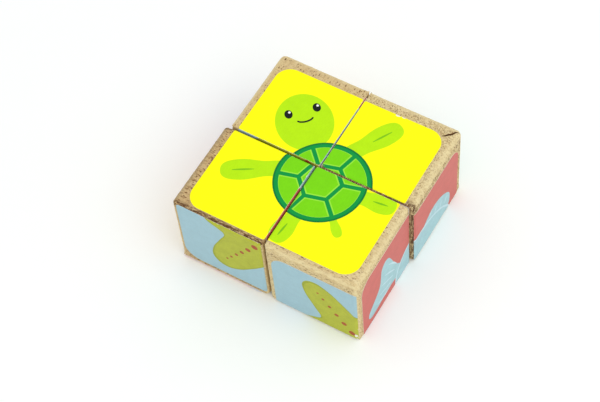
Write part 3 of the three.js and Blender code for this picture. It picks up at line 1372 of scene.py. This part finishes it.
    def stain(self, points: np.ndarray) -> np.ndarray:
        """How dark and open the wood is at each point, from 0 to 1: stained on some edges, painted shade on
        others.

        Args:
            points: Points on the sharp cube.

        Returns:
            The amount at each point.
        """
        amount = np.zeros(len(points))
        for edge in self.edges():
            strength = self.stain_and_shade_edges.get(tuple((edge[0] + edge[1]).astype(int)), 0.0)
            spread = np.exp(-((self.gap_to(points, edge) / self.stain_and_shade_reach) ** 4))
            amount = np.maximum(amount, strength * spread)
        return amount

    def attributes(self, points: np.ndarray, gap: np.ndarray, radius: np.ndarray,
                   depth: np.ndarray) -> dict[str, np.ndarray]:
        """Works out where the wood is darkened (stained on some edges, painted shade on others), where it
        has a painted highlight along the edge ridges, and where it is open to flecks, at each point.

        Args:
            points: Points on the sharp cube.
            gap: How far each is from its nearest edge.
            radius: The rounding at each.
            depth: How far inside a label's outline each is.

        Returns:
            The values of each attribute by its name.
        """
        stain = self.stain(points)
        # A painted highlight along the ridge of each well rounded edge, left out where the edge is darkened
        ridge = np.exp(-(((gap - 0.4 * MM) / (0.55 * radius)) ** 2)) * (radius > 1.0 * MM)
        open_wood = np.clip(-depth / (0.4 * MM) - 0.5, 0, 1) * (gap > radius)
        return {"stain": stain, "rubbed": ridge * (1 - stain), "bare": open_wood}

    def build(self) -> None:
        """Makes the wood and its flecks and puts them on their block."""
        points, squares = self.grid()
        gap, radius = self.nearness(points)
        depth = self.covered(points)
        moved, out = self.rounded(points, radius)
        wear = np.where(depth > 0, 0.0, self.worn(points, gap, self.stain(points)))
        mesh = bpy.data.meshes.new(f"{self.seat.block}_wood")
        mesh.from_pydata(self.seat.to_frame(moved - out * wear[:, None]).tolist(), [], squares.tolist())
        mesh.polygons.foreach_set("use_smooth", np.ones(len(squares), bool))
        for name, values in self.attributes(points, gap, radius, depth).items():
            mesh.attributes.new(name, "FLOAT", "POINT").data.foreach_set("value", values.astype(np.float32))
        mesh.materials.append(self.wood.material())
        flecks = FleckScatter(seed=self.wood.fleck_seed).scatter(
            mesh.copy(), f"{self.seat.block}_flecks", self.wood.fleck_density, self.wood.grain.value)
        if self.crack:
            mesh = self.crack.cut(mesh, self.seat)
        add_piece(mesh.name, mesh, self.seat, "wood", f"cube_{self.seat.block}")
        add_piece(flecks.name, flecks, self.seat, "wood")


@dataclass
class PictureBlock:
    """One finished cube: the wood and its six labels."""

    name: str
    wood: BareWood
    quarters: dict[Picture, tuple[int, int]]
    pitch: float
    stain_and_shade_edges: dict[tuple[int, int, int], float] = field(default_factory=dict)
    crack: Crack | None = None
    chips: dict[Picture, tuple[Chip, ...]] = field(default_factory=dict)

    def build(self) -> None:
        """Makes the wood first, then the labels over its edges."""
        seat = Seat(self.name)
        labels = [PrintedLabel(seat, picture, quarter, self.pitch, self.chips.get(picture, ()))
                  for picture, quarter in self.quarters.items()]
        cube = WoodenCube(seat, self.wood, labels, self.stain_and_shade_edges, self.crack)
        cube.build()
        for label in labels:
            out = label.face.axes[0]
            radii = {axis: cube.edge_radius(out, side) for axis, side in enumerate(label.flush_sides())}
            label.build(radii)


TOP_LEFT, TOP_RIGHT, BOTTOM_LEFT, BOTTOM_RIGHT = (-1, 1), (1, 1), (-1, -1), (1, -1)


@dataclass
class BlockSet:
    """The whole puzzle: four blocks, standing two by two."""

    def blocks(self) -> list[PictureBlock]:
        """Describes the four blocks: their wood, and the quarter of each picture that they carry.

        Returns:
            The blocks.
        """
        left, right = (Seat(name).middle[0] for name in ("back_left", "back_right"))
        pitch = float(right - left)
        # One quarter for each picture, in the order that Picture gives
        layout = {
            "front_left": (BOTTOM_LEFT, BOTTOM_LEFT, BOTTOM_LEFT, TOP_LEFT, TOP_RIGHT, BOTTOM_LEFT),
            "front_right": (BOTTOM_RIGHT, BOTTOM_RIGHT, TOP_LEFT, BOTTOM_RIGHT, BOTTOM_LEFT, TOP_RIGHT),
            "back_left": (TOP_LEFT, TOP_RIGHT, BOTTOM_RIGHT, TOP_RIGHT, TOP_LEFT, BOTTOM_RIGHT),
            "back_right": (TOP_RIGHT, TOP_LEFT, TOP_RIGHT, BOTTOM_LEFT, BOTTOM_RIGHT, TOP_LEFT),
        }
        woods = [
            BareWood("front_left", Grain.ALONG_X, (216, 192, 142), (184, 150, 102), pore_share=0.7,
                     speckle=0.38, fleck_density=0.7, fleck_seed=1, offset=(11, 5, 3)),
            BareWood("front_right", Grain.ALONG_X, fleck_seed=2, offset=(31, 17, 8)),
            BareWood("back_left", Grain.ALONG_Y, (220, 198, 148), (202, 174, 122), pore_share=0.2,
                     speckle=0.4, fleck_density=0.2, fleck_seed=3, offset=(3, 41, 23)),
            BareWood("back_right", Grain.ALONG_Z, (236, 221, 172), (200, 174, 120), speckle=0.55,
                     fleck_density=0.9, fleck_seed=4, offset=(57, 29, 13)),
        ]
        # Darkened edges, by the two outward directions added up, each with its strength:
        # front_left's front and left top edges are stained; back_right's edges beside the gap to front_right
        # are painted shade; front_left's back top edge is darker too
        stain_and_shade_edges = {
            "front_left": {(0, -1, 1): 1.0, (-1, 0, 1): 0.45, (0, 1, 1): 0.8},
            "back_right": {(1, -1, 0): 1.0, (0, -1, 1): 0.8},
        }
        cracks = {"back_right": Crack((0.7, 0.68), (0.96, 0.93))}
        lower_corner = (Chip(0.985, 0.1, 0.9 * MM, 2.0 * MM), Chip(0.99, 0.03, 0.5 * MM, 0.8 * MM))
        back_edge = (Chip(0.41, 0.992, 2.0 * MM, 0.8 * MM), Chip(0.48, 0.997, 1.3 * MM, 0.6 * MM))
        chips = {"front_right": {Picture.STARFISH: lower_corner}, "back_right": {Picture.TURTLE: back_edge}}
        return [
            PictureBlock(wood.name, wood, dict(zip(Picture, layout[wood.name])), pitch,
                         stain_and_shade_edges.get(wood.name, {}), cracks.get(wood.name), chips.get(wood.name, {}))
            for wood in woods
        ]

    def build(self) -> None:
        """Builds every block."""
        for block in self.blocks():
            block.build()


# ---------------------------------------------------------------- studio


@dataclass
class Studio:
    """The floor, the light and the camera. Angles are in degrees."""

    azimuth: float = 35.93
    elevation: float = 57.72
    roll: float = -6.43
    distance: float = 0.6328
    aside: float = -8.23 * MM
    above: float = -1.93 * MM
    lens: float = 97.4  # in millimetres, as Blender counts it
    floor_half: float = 3.0
    glow: float = 0.87
    lamp_power: float = 3.4
    lamp_side: float = 0.9
    lamp_place: tuple[float, float, float] = (0.55, -0.15, 1.0)

    def camera(self) -> None:
        """Adds the camera, which looks down on the set from its front right."""
        low, high = CAD_BOX
        aim = (low + high) / 2
        turn, tilt, roll = (math.radians(x) for x in (self.azimuth, self.elevation, self.roll))
        back = Vector((math.sin(turn) * math.cos(tilt), -math.cos(turn) * math.cos(tilt), math.sin(tilt)))
        level = Vector((math.cos(turn), math.sin(turn), 0))
        up = back.cross(level)
        right = level * math.cos(roll) + up * math.sin(roll)
        data = bpy.data.cameras.new("camera")
        data.lens = self.lens
        data.clip_start = 0.01
        data.clip_end = 20
        camera = bpy.data.objects.new("camera", data)
        axes = Matrix((right, back.cross(right), back)).transposed()
        camera.matrix_world = axes.to_4x4()
        camera.location = aim + back * self.distance + level * self.aside + up * self.above
        bpy.context.scene.collection.objects.link(camera)
        bpy.context.scene.camera = camera

    def floor(self) -> None:
        """Adds a pale floor."""
        half = self.floor_half
        corners = [(-half, -half, 0), (half, -half, 0), (half, half, 0), (-half, half, 0)]
        mesh = bpy.data.meshes.new("floor")
        mesh.from_pydata(corners, [], [(0, 1, 2, 3)])
        material, sheet, shader = new_material("floor_paper")
        cloud = sheet.noise(millimetres(sheet), scale=0.01, detail=2.0)
        tint = sheet.mix(cloud, linear((250, 254, 251)), linear((253, 255, 254)))
        sheet.link(tint, shader.inputs["Base Color"])
        shader.inputs["Roughness"].default_value = 0.9
        mesh.materials.append(material)
        floor = bpy.data.objects.new("floor", mesh)
        bpy.context.scene.collection.objects.link(floor)

    def light(self) -> None:
        """Adds soft light from all round and one large lamp above."""
        world = bpy.data.worlds.new("studio")
        world.use_nodes = True
        background = world.node_tree.nodes["Background"]
        background.inputs["Color"].default_value = (1, 1, 1, 1)
        background.inputs["Strength"].default_value = self.glow
        bpy.context.scene.world = world
        data = bpy.data.lights.new("softbox", "AREA")
        data.shape = "RECTANGLE"
        data.size = self.lamp_side
        data.size_y = self.lamp_side
        data.energy = self.lamp_power
        data.specular_factor = 0.4
        lamp = bpy.data.objects.new("softbox", data)
        lamp.location = self.lamp_place
        lamp.rotation_euler = (-lamp.location).to_track_quat("-Z", "Y").to_euler()
        bpy.context.scene.collection.objects.link(lamp)
        bpy.context.scene.view_settings.view_transform = "Standard"

    def build(self) -> None:
        """Sets up the camera, the floor and the light."""
        self.camera()
        self.floor()
        self.light()


def main() -> None:
    """Builds the studio and the puzzle."""
    logging.basicConfig(level=logging.INFO, format="%(message)s")
    Studio().build()
    BlockSet().build()


if __name__ == "__main__":
    main()
